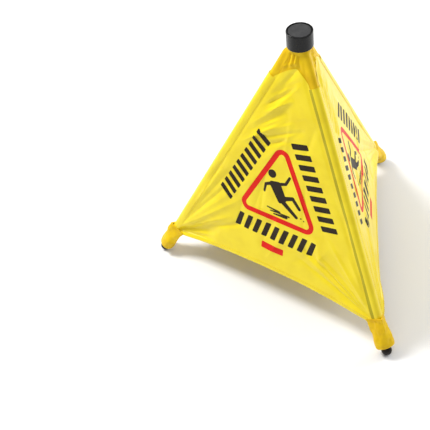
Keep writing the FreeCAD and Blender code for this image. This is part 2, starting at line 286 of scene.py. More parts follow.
NODE_MATERIALS = {
    "cap_shell": CAP_BLACK,
    "cap_disc": DISC_GREY,
    "cap_screw": STEEL,
    "hub": HUB_BLACK,
    "pivot_pins": STEEL,
    "knuckle_rivet": STEEL,
    "knuckle": HUB_BLACK,
    "leg_tube": ALUMINIUM,
    "torsion_spring": SPRING,
    "foot_insert": HUB_BLACK,
    "rubber_foot": RUBBER,
}


def finish_cad_nodes():
    """Gives each CAD piece that stays in view its material."""
    for name, node in frame["nodes"].items():
        kind = name
        for leg in LEGS:
            kind = kind.removesuffix("_" + leg)
        if kind in NODE_MATERIALS:
            node.data.materials.clear()
            node.data.materials.append(NODE_MATERIALS[kind])


finish_cad_nodes()


# ------ the cloth's shape


def face_axes(azimuth):
    """Unit vectors of one face: across it, down it and out of it."""
    angle = math.radians(azimuth)
    out = Vector((math.cos(angle), math.sin(angle), 0))
    across = Vector((-math.sin(angle), math.cos(angle), 0))
    down = out * math.sin(TILT) - UP * math.cos(TILT)
    normal = out * math.cos(TILT) + UP * math.sin(TILT)
    return across, down, normal


def smooth(low, high, x):
    t = min(1.0, max(0.0, (x - low) / (high - low)))
    return t * t * (3 - 2 * t)


def fit_to_neck(p):
    """Draws the cloth in from its three-cornered shape to the round neck under the cap."""
    t = smooth(CAP_Z - 10 * MM, CAP_Z - 0.4 * MM, p.z)
    if t == 0:
        return p
    r = math.hypot(p.x, p.y)
    k = (r + (NECK_R - r) * t) / r
    return Vector((p.x * k, p.y * k, p.z))


def leg_axes(leg):
    """Unit vectors of one leg: down it, out of it, and the way round the axis."""
    angle = math.radians(LEGS[leg])
    out = Vector((math.cos(angle), math.sin(angle), 0))
    down = out * math.sin(LEG_ANGLE) - UP * math.cos(LEG_ANGLE)
    outward = out * math.cos(LEG_ANGLE) + UP * math.sin(LEG_ANGLE)
    return down, outward, Vector((-math.sin(angle), math.cos(angle), 0))


def leg_way(leg, turn):
    """The unit vector at right angles to a leg, turned round it from straight out."""
    _, outward, round_way = leg_axes(leg)
    return outward * math.cos(turn) + round_way * math.sin(turn)


# Half the turn of the cloth over a leg, from one face to the next
CREST_TURN = face_axes(LEGS["front"] + 60)[2].angle(leg_axes("front")[1])


def leg_distance(u, v):
    """Distance in from the nearer leg line, and along it from the apex."""
    side = 1 if u >= 0 else -1
    q = -side * u * math.cos(HALF_ANGLE) + v * math.sin(HALF_ANGLE)
    along = side * u * math.sin(HALF_ANGLE) + v * math.cos(HALF_ANGLE)
    return q, along


def beside_leg(side, q, along):
    """The place (u, v) on a face at a distance q in from the leg line on its given side."""
    u = side * (along * math.sin(HALF_ANGLE) - q * math.cos(HALF_ANGLE))
    return u, along * math.cos(HALF_ANGLE) + q * math.sin(HALF_ANGLE)


class Crease:
    """One long fold: a soft crest or dip along a line on a face, fading out at both ends."""

    def __init__(self, start, end, width, height):
        self.start = Vector(start)
        self.line = Vector(end) - self.start
        self.width = width
        self.height = height

    def at(self, p):
        t = (p - self.start).dot(self.line) / self.line.length_squared
        if not 0 < t < 1:
            return 0.0
        away = (p - self.start - self.line * t).length / (self.width * (0.6 + 0.8 * t))
        return self.height * math.sin(math.pi * t) ** 0.7 * math.exp(0.3 - math.sqrt(0.09 + away * away))


def crease_mm(start, end, width, height):
    """A crease given in millimetres on its face."""
    return Crease(Vector(start) * MM, Vector(end) * MM, width * MM, height * MM)


def corner_fans(rng):
    """Fans of folds that spread from both lower corners of a face."""
    creases = []
    for side in (-1, 1):
        corner = Vector((side * HEM_AT_LEG * math.tan(HALF_ANGLE), HEM_AT_LEG)) * 0.985
        turn = math.radians(4)
        while turn < math.radians(60):
            heading = Vector((-side * math.sin(HALF_ANGLE + turn), -math.cos(HALF_ANGLE + turn)))
            reach = rng.uniform(120, 320) * MM * (1 - 0.5 * turn)
            height = rng.choice(MOSTLY_CRESTS) * rng.uniform(1.6, 3.8) * MM
            width = rng.uniform(2.2, 4.6) * MM
            creases.append(Crease(corner, corner + heading * reach, width, height))
            turn += math.radians(rng.uniform(2.5, 6))
    return creases


def slanting_folds(rng):
    """Folds that slant across a face below the collar, in millimetres."""
    creases = []
    v = 92.0
    while v < 215:
        half = v * math.tan(HALF_ANGLE)
        start = (-half * rng.uniform(0.6, 1.0), v + rng.uniform(16, 34))
        end = (half * rng.uniform(-0.2, 0.5), v - rng.uniform(22, 48))
        height = rng.choice(MOSTLY_CRESTS) * rng.uniform(1.2, 2.7)
        width = rng.uniform(1.7, 3.2)
        creases.append(crease_mm(start, end, width, height))
        v += rng.uniform(4, 9)
    return creases


def short_folds(rng):
    """Short folds in between, in millimetres, leaning either way."""
    creases = []
    for _ in range(16):
        v = rng.uniform(170, 430)
        u = rng.uniform(-0.6, 0.6) * v * math.tan(HALF_ANGLE)
        lean = rng.uniform(-0.5, 0.9)
        half_line = Vector((math.sin(lean), -math.cos(lean))) * rng.uniform(22, 60)
        middle = Vector((u, v))
        height = rng.choice(CREST_OR_DIP) * rng.uniform(1.0, 2.2)
        width = rng.uniform(2.6, 6)
        creases.append(crease_mm(middle - half_line, middle + half_line, width, height))
    return creases


def make_folds(seed):
    """The folds of one face, all drawn from one seeded generator."""
    rng = random.Random(seed)
    return corner_fans(rng) + slanting_folds(rng) + short_folds(rng)


def make_collar_folds(seed):
    """Gathers, by turns a dip and a crest, that spread down from the neck, and one slanting fold."""
    rng = random.Random(seed)
    creases = []
    crest = 3.4
    dip = -4.2
    for step in range(9):
        share = (step - 4) / 4 + rng.uniform(-0.09, 0.09)
        start = (share * 11, 22)
        end = (share * rng.uniform(30, 40), rng.uniform(78, 112))
        height = (crest if step % 2 else dip) * rng.uniform(0.7, 1.1)
        width = rng.uniform(1.7, 3.0)
        creases.append(crease_mm(start, end, width, height))
    creases.append(crease_mm((-24, 66), (13, 44), width=3.4, height=2.6))
    return creases


FOLDS = {name: make_folds(SEED + number) for number, name in enumerate(FACES)}
COLLAR_FOLDS = {name: make_collar_folds(SEED + 20 + number) for number, name in enumerate(FACES)}


def relief(creases, u, v):
    """How far the cloth stands out of its face: a valley beside each leg, then folds, billows and slack."""
    q, along = leg_distance(u, v)
    valley = -VALLEY_DEPTH * math.exp(-(((q - VALLEY_AT) / VALLEY_WIDTH) ** 2))
    valley *= smooth(*VALLEY_FADES_IN, along) * (1 - smooth(*VALLEY_FADES_OUT, along))
    valley *= VALLEY_MEAN + VALLEY_VARIES * noise.noise(Vector((along / 0.06, 8.1, 1.3)))
    p = Vector((u, v))
    folds = sum(crease.at(p) for crease in creases)
    folds += BILLOW * noise.noise(Vector((u / BILLOW_SIZE[0], v / BILLOW_SIZE[1], 3.7)))
    loose = smooth(*FOLDS_COME_IN, q)
    slack = -SLACK * smooth(*SLACK_COMES_IN, q)
    return smooth(0, 4 * MM, q) * valley + loose * folds + slack


def skin(name, u, v, lift=0.0, gold=False):
    """The cloth's outer surface at a place on one face; the gold collar tucks in under the yellow panel."""
    across, down, normal = face_axes(FACES[name])
    if gold:
        tuck = smooth(panel_top(u) - 12 * MM, panel_top(u) - 2 * MM, v)
        height = relief(COLLAR_FOLDS[name], u, v) * (1 - tuck)
        if tuck > 0:
            height += relief(FOLDS[name], u, v) * tuck
    else:
        height = relief(FOLDS[name], u, v)
    return fit_to_neck(APEX + across * u + down * v + normal * (CREST + height + lift))


# ------ the print, in millimetres on a face


BAR_SLANT = 0.28
BAR_FILL = 0.56


def arc_points(centre, radius, start, end, step=12.0):
    """Points along an arc; its start, end and step are in degrees."""
    count = max(2, int(abs(end - start) / step) + 1)
    angles = [math.radians(start + (end - start) * i / (count - 1)) for i in range(count)]
    return [Vector((centre[0] + radius * math.cos(a), centre[1] + radius * math.sin(a))) for a in angles]


def convex_hull_of_circles(circles):
    """The outline of a rubber band round circles, each (u, v, radius), given in order round the shape."""
    points = []
    count = len(circles)
    turns = []
    for i in range(count):
        a, b = circles[i], circles[(i + 1) % count]
        across = Vector((b[0] - a[0], b[1] - a[1]))
        lean = math.acos(max(-1, min(1, (a[2] - b[2]) / across.length)))
        turns.append(math.atan2(across.y, across.x) - lean)
    for i in range(count):
        start = math.degrees(turns[i - 1])
        end = math.degrees(turns[i])
        while end < start - 1e-6:
            end += 360
        points += arc_points(circles[i][:2], circles[i][2], start, end)
    return points


def stroke(a, b, start_r, end_r):
    """A round-ended limb."""
    return convex_hull_of_circles([(*a, start_r), (*b, end_r)])


def bar(middle, lean, width, height, slant):
    """One slanted bar with slightly rounded corners."""
    corner = 1.6
    half_w = width / 2 - corner
    half_h = height / 2 - corner
    turn = Matrix.Rotation(lean, 2)
    places = []
    for x, y in ((-half_w, -half_h), (half_w, -half_h), (half_w, half_h), (-half_w, half_h)):
        p = turn @ Vector((x - slant * y, y))
        places.append((middle[0] + p.x, middle[1] + p.y, corner))
    return convex_hull_of_circles(places)


def bar_row(start, end, count, height):
    """A row of slanted bars in place of a word."""
    start, end = Vector(start), Vector(end)
    along = (end - start) / count
    lean = math.atan2(along.y, along.x)
    width = along.length * BAR_FILL
    return [bar(start + along * (i + 0.5), lean, width, height, BAR_SLANT) for i in range(count)]


# The warning triangle's corners, with the outer and inner radius of its red border
TRIANGLE = ((-2.0, 225.0), (58.0, 336.0), (-58.0, 336.0))
RED_OUTER = convex_hull_of_circles([(*p, 16.0) for p in TRIANGLE])
RED_INNER = convex_hull_of_circles([(*p, 6.5) for p in TRIANGLE])
FIGURE = [
    arc_points((-18.0, 261.0), 8.0, 0, 348),
    convex_hull_of_circles([(-16.5, 280.0, 5.0), (-4.0, 277.0, 4.6), (9.5, 303.0, 5.6), (3.0, 307.5, 5.0)]),
    stroke((-4.0, 277.0), (10.0, 272.0), 3.2, 2.8),
    stroke((10.0, 272.0), (16.5, 257.0), 2.8, 2.5),
    stroke((-17.0, 279.5), (-29.0, 286.0), 3.2, 2.8),
    stroke((-29.0, 286.0), (-30.5, 300.0), 2.8, 2.5),
    stroke((7.0, 302.0), (27.0, 294.0), 4.4, 3.6),
    stroke((27.0, 294.0), (42.0, 309.0), 3.6, 3.0),
    stroke((6.0, 306.0), (38.0, 327.0), 4.8, 3.2),
]
SLIP_MARKS = [
    stroke((-21.0, 328.5), (4.0, 331.5), 1.2, 2.4),
    stroke((-14.0, 334.0), (24.0, 332.5), 1.2, 1.6),
    stroke((-7.0, 338.5), (19.0, 336.0), 1.4, 2.6),
    arc_points((47.0, 326.0), 1.5, 0, 330, 30),
    arc_points((53.0, 329.0), 1.5, 0, 330, 30),
]
ROWS = (
    bar_row((-84.0, 377.0), (84.0, 377.0), count=9, height=30.0)
    + bar_row((24.0, 184.0), (108.0, 332.0), count=9, height=30.0)
    + bar_row((-110.0, 338.0), (-38.0, 192.0), count=10, height=31.0)
)
LABEL = bar((-2.0, 410.0), lean=0.0, width=46.0, height=13.0, slant=0.0)
BLACK_SHAPES = FIGURE + SLIP_MARKS + ROWS


def inside(outline, p):
    """Whether a point is inside a closed outline."""
    hit = False
    for a, b in zip(outline, outline[1:] + outline[:1]):
        if (a.y > p.y) != (b.y > p.y) and p.x < (b.x - a.x) * (p.y - a.y) / (b.y - a.y) + a.x:
            hit = not hit
    return hit


def in_box(outline, p):
    xs = [q.x for q in outline]
    ys = [q.y for q in outline]
    return min(xs) <= p.x <= max(xs) and min(ys) <= p.y <= max(ys)


def ink_at(p):
    """Which material slot the cloth has at a place on a face: 0 cloth, 1 black, 2 red."""
    for outline in BLACK_SHAPES:
        if in_box(outline, p) and inside(outline, p):
            return 1
    if inside(LABEL, p):
        return 2
    if inside(RED_OUTER, p) and not inside(RED_INNER, p):
        return 2
    return 0


# ------ flat cutting of a face

# Rows of grid points are this share of their spacing apart
ROW_PITCH = 0.866
# A u past the widest half of a face
BEYOND_SIDE_U = 0.25
# Grid points keep this far, in millimetres, from the print's own points
PRINT_GAP = 1.5
# Points closer than this, in metres, are one; a triangle with twice its area, in m2, under this is dropped
WELD = 1e-6
SLIVER = 1e-9


def hem_v(u):
    """The hem's arc: how far down the face it lies at u."""
    half_chord = HEM_AT_LEG * math.tan(HALF_ANGLE)
    rise = HEM_AT_LEG - HEM_MIDDLE
    radius = (half_chord ** 2 + rise ** 2) / (2 * rise)
    return HEM_MIDDLE + radius - math.sqrt(radius ** 2 - u ** 2)


def hem_cut_v(u):
    """The panel's own lower edge, inside the hem."""
    return hem_v(u) - 1.5 * MM


def side_v(u, inset):
    """How far down the face the cut edge beside a leg crosses u."""
    return (abs(u) * math.cos(HALF_ANGLE) + inset) / math.sin(HALF_ANGLE)


def panel_top(u):
    """A blunt arch a little to one side of the middle: the edge between yellow and gold cloth."""
    reach = PANEL_TOP_AT_LEG * math.tan(HALF_ANGLE) + (PANEL_PEAK_U if u < PANEL_PEAK_U else -PANEL_PEAK_U)
    away = min(1.6, abs(u - PANEL_PEAK_U) / reach)
    return PANEL_TOP_MIDDLE + (PANEL_TOP_AT_LEG - PANEL_TOP_MIDDLE) * away ** 1.3


def solve_edge(edge, inset):
    """The positive u where a boundary v = edge(u) meets the cut edge beside a leg, found by halving."""
    low = 0.0
    high = 0.4
    for _ in range(50):
        u = (low + high) / 2
        if side_v(u, inset) < edge(u):
            low = u
        else:
            high = u
    return low


def row_points(edge, end, spacing):
    """Evenly spaced points along v = edge(u), from the middle line to u = end."""
    count = max(4, round(abs(end) / spacing))
    us = [end * i / count for i in range(count + 1)]
    return [Vector((u, edge(u))) for u in us]


def boundary(top, bottom, inset, spacing):
    """The outline of a face's cloth between two edges, through the middle line's ends."""
    halves = []
    for side in (1, -1):
        rows = []
        for edge in (bottom, top):
            def here(u):
                return edge(side * u)

            rows.append(row_points(here, solve_edge(here, inset), spacing))
        bottom_row, top_row = rows
        a, b = bottom_row[-1], top_row[-1]
        count = max(4, round((a - b).length / spacing))
        half = bottom_row + [a + (b - a) * (i / count) for i in range(1, count)] + top_row[::-1]
        halves.append([Vector((side * p.x, p.y)) for p in half])
    right, left = halves
    return right + left[::-1][1:-1]


def grid_points(top, bottom, inset, spacing):
    """Staggered rows of points over a face's cloth, clear of its edges and of its middle line."""
    points = []
    row = 0
    v = top(0)
    while v < bottom(BEYOND_SIDE_U):
        half = v * math.tan(HALF_ANGLE)
        shift = spacing / 2 if row % 2 else 0.0
        n = int((half + spacing) / spacing)
        for i in range(-n, n + 1):
            p = Vector((i * spacing + shift, v))
            q, _ = leg_distance(p.x, p.y)
            clear_of_ends = top(p.x) + spacing * 0.5 < v < bottom(p.x) - spacing * 0.5
            if q > inset + spacing * 0.6 and clear_of_ends and abs(p.x) > spacing * 0.4:
                points.append(p)
        v += spacing * ROW_PITCH
        row += 1
    return points


def clear_of_print(points, outlines):
    """The points that don't crowd a point of the print's outlines."""
    reach = 2 * PRINT_GAP
    near = [(shape, min(p.x for p in shape) - reach, max(p.x for p in shape) + reach,
             min(p.y for p in shape) - reach, max(p.y for p in shape) + reach) for shape in outlines]

    def crowded(m):
        return any(x0 < m.x < x1 and y0 < m.y < y1 and min((m - s).length for s in shape) < PRINT_GAP
                   for shape, x0, x1, y0, y1 in near)

    return [p for p in points if not crowded(p / MM)]


def cut_face(top, bottom, spacing, outlines, ink):
    """A flat face's points, triangles and material slots, cut along the print and the middle line."""
    inset = SEAM_Q - SEAM_LAP
    outline = boundary(top, bottom, inset, spacing)
    points = []
    edges = []
    for loop in [outline] + [[p * MM for p in shape] for shape in outlines]:
        start = len(points)
        points.extend(loop)
        edges.extend((start + i, start + (i + 1) % len(loop)) for i in range(len(loop)))
    start = len(points)
    low = top(0)
    high = bottom(0)
    count = max(2, round((high - low) / spacing))
    points.extend(Vector((0, low + (high - low) * i / count)) for i in range(count + 1))
    edges.extend((start + i, start + i + 1) for i in range(count))
    points += clear_of_print(grid_points(top, bottom, inset, spacing), outlines)
    verts, _, faces, _, _, _ = delaunay_2d_cdt(points, edges, [], 0, WELD)
    triangles = []
    slots = []
    for face in faces:
        centre = sum((verts[i] for i in face), Vector((0, 0))) / len(face)
        q, _ = leg_distance(centre.x, centre.y)
        well_in = q > inset + spacing and top(centre.x) + spacing < centre.y < bottom(centre.x) - spacing
        a, b, c = (verts[i] for i in face)
        sliver = abs((b - a).cross(c - a)) < SLIVER
        if sliver or not (well_in or inside(outline, centre)):
            continue
        triangles.append(list(face))
        slots.append(ink(centre / MM) if ink else 0)
    return verts, triangles, slots


# ------ pieces


def mesh_object(name, points, faces, materials, slots=None, crisp=None):
    """A smooth-shaded piece; edges that turn by more than crisp degrees stay sharp."""
    mesh = bpy.data.meshes.new(name)
    mesh.from_pydata(points, [], faces)
    for material in materials:
        mesh.materials.append(material)
    if slots:
        mesh.polygons.foreach_set("material_index", slots)
    mesh.polygons.foreach_set("use_smooth", [True] * len(faces))
    if crisp is not None:
        mesh.set_sharp_from_angle(angle=math.radians(crisp))
    mesh.update()
    piece = bpy.data.objects.new(name, mesh)
    bpy.context.scene.collection.objects.link(piece)
    return piece


def sheet_normals(points, faces):
    """The normal at each point, averaged over its faces by their area."""
    normals = [Vector() for _ in points]
    for face in faces:
        a, b, c = (points[i] for i in face[:3])
        turn = (b - a).cross(c - a)
        for i in face:
            normals[i] += turn
    return [n.normalized() if n.length > 0 else UP.copy() for n in normals]


def thick_sheet(name, outer, normals, faces, materials, slots):
    """A sheet with thickness: outer layer, inner layer and rim, shaded with no line where halves meet."""
    used = sorted({i for face in faces for i in face})
    place = {old: new for new, old in enumerate(used)}
    count = len(used)
    points = [outer[i] for i in used] + [outer[i] - normals[i] * CLOTH_THICK for i in used]
    top = [[place[i] for i in face] for face in faces]
    bottom = [[i + count for i in reversed(face)] for face in top]
    edges = {(a, b) for face in top for a, b in zip(face, face[1:] + face[:1])}
    rim = [[b, a, a + count, b + count] for a, b in sorted(edges) if (b, a) not in edges]
    kinds = list(slots) + [0] * (len(bottom) + len(rim))
    piece = mesh_object(name, points, top + bottom + rim, materials, kinds)
    shading = [normals[used[i]] for face in top for i in face]
    shading += [-normals[used[i - count]] for face in bottom for i in face]
    for face in rim:
        a, b, c = (points[i] for i in face[:3])
        shading += [(b - a).cross(c - a).normalized()] * 4
    piece.data.normals_split_custom_set(shading)
    return piece


def loft(rings, closed_length):
    """Faces of a skin over closed rings of points; closed_length joins the last ring to the first."""
    count, size = len(rings), len(rings[0])
    points = [p for ring in rings for p in ring]
    faces = []
    for i in range(count if closed_length else count - 1):
        here, after = i * size, (i + 1) % count * size
        for j in range(size):
            k = (j + 1) % size
            faces.append([here + j, here + k, after + k, after + j])
    return points, faces


def strip_solid(rings):
    """A strip closed at both ends; each ring runs along its outer side and back along its inner side."""
    points, faces = loft(rings, False)
    size = len(rings[0])
    last = (len(rings) - 1) * size
    for j in range(size // 2 - 1):
        far = size - 1 - j
        faces.append([j, far, far - 1, j + 1])
        faces.append([last + j, last + j + 1, last + far - 1, last + far])
    return points, faces


def stitches(name, places):
    """A row of thread stitches, each a small rounded bar; places are (middle, direction, normal)."""
    points, faces = [], []
    for middle, direction, normal in places:
        side = normal.cross(direction).normalized() * STITCH_R
        rise = normal.normalized() * STITCH_R
        half = direction.normalized() * (STITCH_LENGTH / 2)
        base = len(points)
        points.append(middle - half - rise)
        for share in (-0.75, 0.75):
            points.extend(middle + half * share + step for step in (side, rise, -side, -rise))
        points.append(middle + half - rise)
        for j in range(4):
            k = (j + 1) % 4
            faces.append([base, base + 1 + k, base + 1 + j])
            faces.append([base + 1 + j, base + 1 + k, base + 5 + k, base + 5 + j])
            faces.append([base + 9, base + 5 + j, base + 5 + k])
    return mesh_object(name, points, faces, [THREAD])


def stitch_places(at, start, end):
    """Stitches along a curve at(t) = (place, normal), t a length in metres from start to end."""
    places = []
    for i in range(int((end - start) / STITCH_PITCH)):
        t = start + (i + 0.5) * STITCH_PITCH
        middle, normal = at(t)
        ahead, _ = at(t + 0.5 * MM)
        places.append((middle, ahead - middle, normal))
    return places


def leg_beside(azimuth, side):
    """The leg at u < 0 (side -1) or u > 0 (side 1) of a face."""
    return next(leg for leg, a in LEGS.items() if abs((azimuth + 60 * side - a) % 360) < 1)


def gather(piece, azimuth, side):
    """The piece rides the leg beside it, with a mesh of its own."""
    leg = leg_beside(azimuth, side)
    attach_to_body(piece, "leg_" + leg)
    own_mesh(piece)


def attach(pieces, body, node):
    for piece in pieces:
        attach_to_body(piece, body)
        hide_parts(node)


def half_sheets(kind, name, cut, lift, materials, node):
    """Both halves of a face's cloth, lifted onto the face's relief, each riding the leg beside it."""
    verts, triangles, slots = cut
    azimuth = FACES[name]
    lifted = [skin(name, p.x, p.y, lift, kind == "collar") for p in verts]
    across, down, normal = face_axes(azimuth)
    turned_out = across.cross(down).dot(normal)
    facing = []
    for face in triangles:
        a, b, c = (verts[i] for i in face)
        facing.append(face if (b - a).cross(c - a) * turned_out > 0 else face[::-1])
    normals = sheet_normals(lifted, facing)
    for side in (-1, 1):
        mine = [n for n, face in enumerate(facing) if side * sum(verts[i].x for i in face) > 0]
        faces = [facing[n] for n in mine]
        leg = leg_beside(azimuth, side)
        piece = thick_sheet(f"{kind}_{name}_{leg}_side", lifted, normals, faces, materials,
                            [slots[n] for n in mine])
        gather(piece, azimuth, side)
        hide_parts(node)


# The hem's closed section in millimetres, as (how far below its top, height over the panel)
HEM_SECTION = (
    (0.0, 0.1), (0.1, 0.5), (1.2, 0.42), (3.0, 0.62), (5.6, 0.7), (7.4, 0.5),
    (8.0, 0.0), (8.1, -0.45), (7.9, -0.95), (7.2, -1.2),
    (5.6, -1.35), (3.0, -1.25), (1.2, -1.1), (0.1, -1.15), (0.0, -0.8), (-0.1, -0.3),
)
HEM_STITCH_DEPTH = 1.3
HEM_STITCH_LIFT = 0.62


def make_hem(name, side):
    """One half of a face's hem: a rounded, slightly puckered fold of cloth with its row of stitches."""
    azimuth = FACES[name]
    end = solve_edge(hem_v, SEAM_Q - SEAM_LAP) - 0.5 * MM

    def at(u, depth, lift):
        v = hem_v(u) - HEM_DEPTH + depth * MM + 0.4 * MM
        pucker = 0.16 * math.sin(u / STITCH_PITCH * math.pi * 1.31)
        pucker += 0.2 * noise.noise(Vector((u * 90, 5.1, 0)))
        return skin(name, side * u, v, (lift + pucker) * MM)

    count = round(end / GRID)
    rings = [[at(end * i / count, *place) for place in HEM_SECTION] for i in range(count + 1)]
    points, faces = strip_solid(rings)
    if side < 0:
        faces = [face[::-1] for face in faces]
    leg = leg_beside(azimuth, side)
    hem = mesh_object(f"hem_{name}_{leg}_side", points, faces, [YELLOW], crisp=60)

    def on_hem(u):
        middle = at(u, HEM_STITCH_DEPTH, HEM_STITCH_LIFT)
        beside = at(u, 3.0, HEM_STITCH_LIFT)
        ahead = at(u + 1 * MM, HEM_STITCH_DEPTH, HEM_STITCH_LIFT)
        normal = (ahead - middle).cross(beside - middle).normalized()
        return middle, normal if normal.dot(face_axes(azimuth)[2]) > 0 else -normal

    thread = stitches(f"hem_stitching_{name}_{leg}_side", stitch_places(on_hem, 0, end))
    for piece in (hem, thread):
        gather(piece, azimuth, side)
        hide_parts("skirt_hem_" + name)


def make_skirt():
    """The printed panels, their hems and the collar's sides, on each of the three faces."""
    print_outlines = [RED_OUTER, RED_INNER, LABEL] + BLACK_SHAPES
    panel_cut = cut_face(panel_top, hem_cut_v, GRID, print_outlines, ink_at)
    collar_cut = cut_face(lambda u: COLLAR_TOP_V, lambda u: panel_top(u) + COLLAR_LAP, COLLAR_GRID, [], None)
    for name in FACES:
        half_sheets("panel", name, panel_cut, 0.0, [YELLOW, BLACK_INK, RED_INK],
                    "skirt_panel_" + name)
        half_sheets("collar", name, collar_cut, -1.2 * MM, [GOLD],
                    "skirt_collar")
        for side in (-1, 1):
            make_hem(name, side)


# How a ring of a leg's pocket is divided: seam to crest, half the crest, and the back
SIDE_STEPS = 6
CREST_STEPS = 5
BACK_STEPS = 10
# The pocket's back: its radius round the leg line, and how much it widens towards the seams
POCKET_BACK_R = 6.4 * MM
POCKET_PINCH = 2.4 * MM
POCKET_RINGS = 86
# The front pocket's strip of painted shade, counted round it from its seam on the front left face
PAINTED_SHADE_STRIP = range(1, 5)


def over_crest(leg, along, turn, lift):
    """A place on the cloth where it turns over a leg."""
    return fit_to_neck(APEX + leg_axes(leg)[0] * along + leg_way(leg, turn) * (CREST + lift))


def face_beside(leg, side):
    """The face on which a leg is at u > 0 (side 1) or u < 0 (side -1)."""
    return next(name for name, a in FACES.items() if abs((LEGS[leg] - 60 * side - a) % 360) < 1)


def over_leg(leg, along, gold, lift):
    """The row of places across a leg's cloth, from one face over the crest to the next."""
    steps = [SEAM_Q * (1 - i / SIDE_STEPS) for i in range(SIDE_STEPS)]
    before = [skin(face_beside(leg, 1), *beside_leg(1, q, along), lift, gold) for q in steps]
    after = [skin(face_beside(leg, -1), *beside_leg(-1, q, along), lift, gold) for q in reversed(steps)]
    turns = [CREST_TURN * (i / CREST_STEPS - 1) for i in range(2 * CREST_STEPS + 1)]
    crest = [over_crest(leg, along, turn, lift) for turn in turns]
    return before + crest + after


def behind_leg(leg, along, lift):
    """The row of places behind a leg's tube, from the seam on one face round to the other."""
    line = APEX + leg_axes(leg)[0] * along
    row = []
    for i in range(1, BACK_STEPS):
        turn = PINCH_TURN + (2 * math.pi - 2 * PINCH_TURN) * i / BACK_STEPS
        pinch = abs(2 * (i / BACK_STEPS) - 1) ** 3
        radius = POCKET_BACK_R + POCKET_PINCH * pinch + lift
        row.append(line + leg_way(leg, turn) * radius)
    return row


def make_leg_pocket(leg):
    """The yellow pocket that holds a leg: over its crest, in to a stitched seam each side, shut behind."""
    outer = []
    inner = []
    for i in range(POCKET_RINGS + 1):
        along = BAND_START + (BAND_END - BAND_START) * i / POCKET_RINGS
        front = over_leg(leg, along, False, 0.5 * MM)
        outer.append(front + behind_leg(leg, along, 0.0))
        front_inner = over_leg(leg, along, False, 0.05 * MM)
        inner.append(front_inner + behind_leg(leg, along, -CLOTH_THICK))
    points, faces = loft(outer + inner[::-1], True)
    size = len(outer[0])
    # Only the front pocket gets the strip of painted shade: a darker colour beside its crest, where the cloth
    # turns away from the light
    painted_shade = PAINTED_SHADE_STRIP if leg == "front" else ()
    slots = [1 if n // size < POCKET_RINGS and n % size in painted_shade else 0 for n in range(len(faces))]
    turned_out = [face[::-1] for face in faces]
    pocket = mesh_object(f"pocket_{leg}", points, turned_out, [YELLOW, PAINTED_SHADE_YELLOW], slots, crisp=70)
    places = []
    for side in (1, -1):
        name = face_beside(leg, side)

        def on_seam(t):
            at = skin(name, *beside_leg(side, SEAM_Q - 1.5 * MM, t), 0.62 * MM)
            return at, face_axes(FACES[name])[2]

        places += stitch_places(on_seam, BAND_START + 2 * MM, BAND_END - 14 * MM)
    thread = stitches(f"pocket_stitching_{leg}", places)
    attach((pocket, thread), "leg_" + leg, "leg_pocket_" + leg)


def make_collar_band(leg):
    """The gold cloth over the top of a leg, from the neck down to the pocket."""
    start = 26 * MM
    end = BAND_START + 5 * MM
    count = 26
    # The first rings are round the neck, where the band's thickness is measured level
    neck_rings = 4
    rings = []
    for i in range(count + 1):
        along = start + (end - start) * i / count
        outer = over_leg(leg, along, True, -0.75 * MM)
        inner = over_leg(leg, along, True, -1.15 * MM)
        if i < neck_rings:
            inner = [p - (p - Vector((0, 0, p.z))).normalized() * 0.4 * MM for p in outer]
        rings.append(outer + inner[::-1])
    points, faces = strip_solid(rings)
    band = mesh_object(f"collar_band_{leg}", points, [face[::-1] for face in faces], [GOLD], crisp=70)
    attach((band,), "leg_" + leg, "skirt_collar")


def make_neck_ring():
    """The collar's own band, gripped between hub and cap, with a notch for each leg's knuckle."""
    low = CAP_Z - 5 * MM
    high = CAP_Z + 12 * MM
    outer_r = 18.9 * MM
    inner_r = 18.5 * MM
    # Degrees to each side of a leg
    notch = 17
    notch_depth = 4 * MM
    count = 96
    profile = [(outer_r, high), (outer_r, CAP_Z), (outer_r, low)]
    profile += [(inner_r, low), (inner_r, CAP_Z), (inner_r, high)]
    rings = []
    for i in range(count):
        turn = 360 * i / count
        close = min(abs((turn - a + 180) % 360 - 180) for a in LEGS.values())
        lifted = notch_depth if close < notch else 0.0
        reach = Vector((math.cos(math.radians(turn)), math.sin(math.radians(turn)), 0))
        rings.append([reach * r + UP * (z + lifted if z == low else z) for r, z in profile])
    points, faces = loft(rings, True)
    ring = mesh_object("neck_ring", points, faces, [GOLD], crisp=50)
    attach((ring,), "head", "skirt_collar")


# The sleeve in millimetres: its mouth's three sides from the leg line, with a power for how sharp the
# corners between them are, and its end's half axes out of the leg and round it
MOUTH_FRONT = 9.2
MOUTH_BACK = 12.6
MOUTH_CORNERS = 7
END_OUTWARD = 14.0
END_SIDEWAYS = 17.4
# Stitch rows round the sleeve, as shares of its length, and stitches in each
SLEEVE_STITCH_ROWS = (0.07, 0.915)
SLEEVE_STITCHES = 22


def sleeve_profile():
    """The sleeve's closed section: (share of its length from the mouth, millimetres taken off its radius)."""
    mouth_edge = [(0.0, 0.35), (0.006, 0.05), (0.02, 0.0)]
    outside = [(0.05 + 0.85 * i / 24, 0.0) for i in range(25)]
    stitched_end = [(0.915, 0.35), (0.93, 0.0), (0.97, 0.0), (0.99, 0.3), (1.0, 0.9)]
    turned_in = [(1.012, 2.2), (1.016, 4.2), (1.014, 5.4), (0.995, 5.2), (0.985, 3.2), (0.95, 1.6)]
    inside_layer = [(0.9 - 0.86 * i / 12, 1.1) for i in range(13)]
    mouth_lip = [(0.03, 4.2), (0.01, 4.0)]
    return mouth_edge + outside + stitched_end + turned_in + inside_layer + mouth_lip


